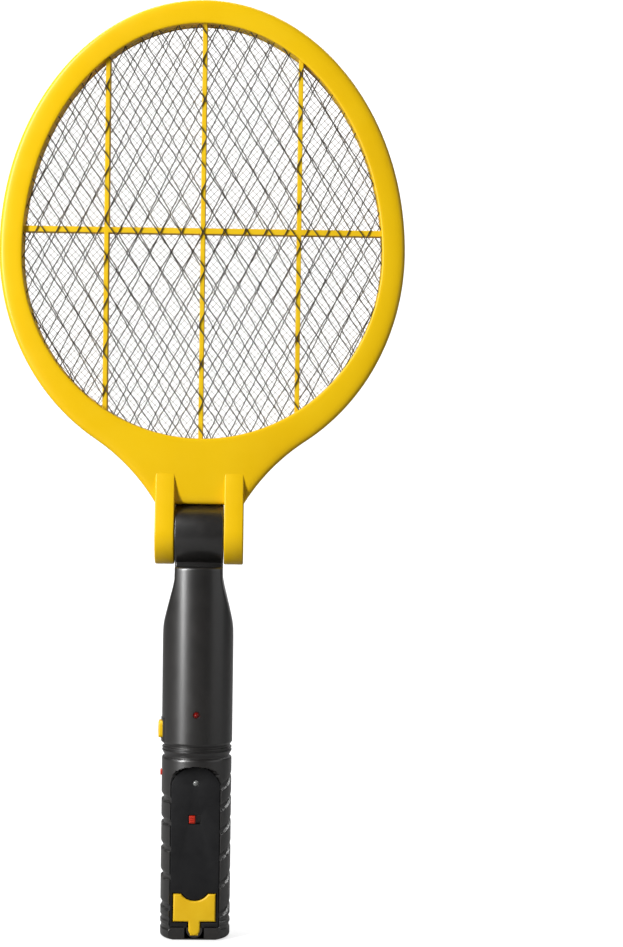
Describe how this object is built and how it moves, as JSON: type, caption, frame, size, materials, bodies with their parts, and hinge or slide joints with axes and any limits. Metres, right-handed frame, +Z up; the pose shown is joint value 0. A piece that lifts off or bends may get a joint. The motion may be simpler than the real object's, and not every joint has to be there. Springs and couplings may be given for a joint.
{
  "type": "electric fly swatter",
  "caption": "Racket-shaped electric fly swatter with an oval charged grid head that folds on a round ribbed battery handle.",
  "frame": {"origin": "centre of the handle's flat end, on the handle's axis", "axes": "+Z up the handle to the top of the head, -Y to the front with the switch and port, +X to the right seen from the front"},
  "size_m": [0.21, 0.0373, 0.4868],
  "materials": {
    "shell_yellow": "satin moulded plastic",
    "shell_black": "satin moulded plastic",
    "panel_black": "fine matt texture",
    "rubber_yellow": "soft matt",
    "button_yellow": "satin",
    "plastic_red": "glossy",
    "lamp_red": "clear tinted",
    "lamp_clear": "milky clear",
    "mesh_steel": "dull zinc plating",
    "grid_steel": "fine bright wire",
    "steel": "zinc plated",
    "brass": "plain",
    "wire": "insulated wire",
    "board": "solder resist",
    "dark_part": "moulded resin",
    "ferrite": "ferrite with a wound bobbin",
    "capacitor": "dipped film",
    "cell": "wrapped cell",
    "cradle": "moulded plastic"
  },
  "bodies": {
    "handle": {"hinge_sleeve": "brass", "handle_shell_front": "shell_black", "handle_shell_rear": "shell_black", "handle_screws": "steel", "control_panel": "panel_black", "zap_spring": "steel", "zap_switch": "dark_part", "lamp_spring": "steel", "lamp_switch": "dark_part", "hv_indicator_lamp": "lamp_red", "charge_lamp": "lamp_clear", "slide_switch_body": "steel", "charge_socket": "steel", "charge_board": "board", "charge_chip": "dark_part", "main_board": "board", "transformer": "ferrite", "storage_capacitors": "capacitor", "power_transistor": "dark_part", "battery_cell": "cell", "battery_tabs": "steel", "battery_cradle": "cradle", "battery_leads": "wire", "handle_leads": "wire"},
    "head": {"head_shell_front": "shell_yellow", "head_shell_rear": "shell_yellow", "rib_frame_front": "shell_yellow", "rib_frame_rear": "shell_yellow", "front_guard_mesh": "mesh_steel", "rear_guard_mesh": "mesh_steel", "centre_grid": "grid_steel", "grid_contacts": "brass", "head_leads": "wire", "head_screws": "steel", "hinge_bolt": "steel", "hinge_nut": "steel", "friction_washers": "steel"},
    "zap_button": {"zap_button": "button_yellow"},
    "lamp_button": {"lamp_button": "plastic_red"},
    "switch_knob": {"slide_switch_knob": "plastic_red"},
    "port_cover": {"port_cover": "rubber_yellow"}
  },
  "joints": [
    {"name": "head_fold", "type": "hinge", "parent": "handle", "child": "head", "pos_m": [0, 0, 0.21], "axis": [1, 0, 0], "range_deg": [-90, 90]},
    {"name": "zap_press", "type": "slide", "parent": "handle", "child": "zap_button", "axis": [1, 0, 0], "range_m": [0, 0.0016], "stiffness_N_per_m": 500, "springref_m": -0.002, "deforming": ["zap_spring"]},
    {"name": "lamp_press", "type": "slide", "parent": "handle", "child": "lamp_button", "axis": [1, 0, 0], "range_m": [0, 0.0008], "stiffness_N_per_m": 500, "springref_m": -0.001, "deforming": ["lamp_spring"]},
    {"name": "switch_slide", "type": "slide", "parent": "handle", "child": "switch_knob", "axis": [1, 0, 0], "range_m": [0, 0.0026]},
    {"name": "cover_open", "type": "hinge", "parent": "handle", "child": "port_cover", "pos_m": [0, -0.0117, 0.0027], "axis": [1, 0, 0], "range_deg": [0, 85]}
  ]
}
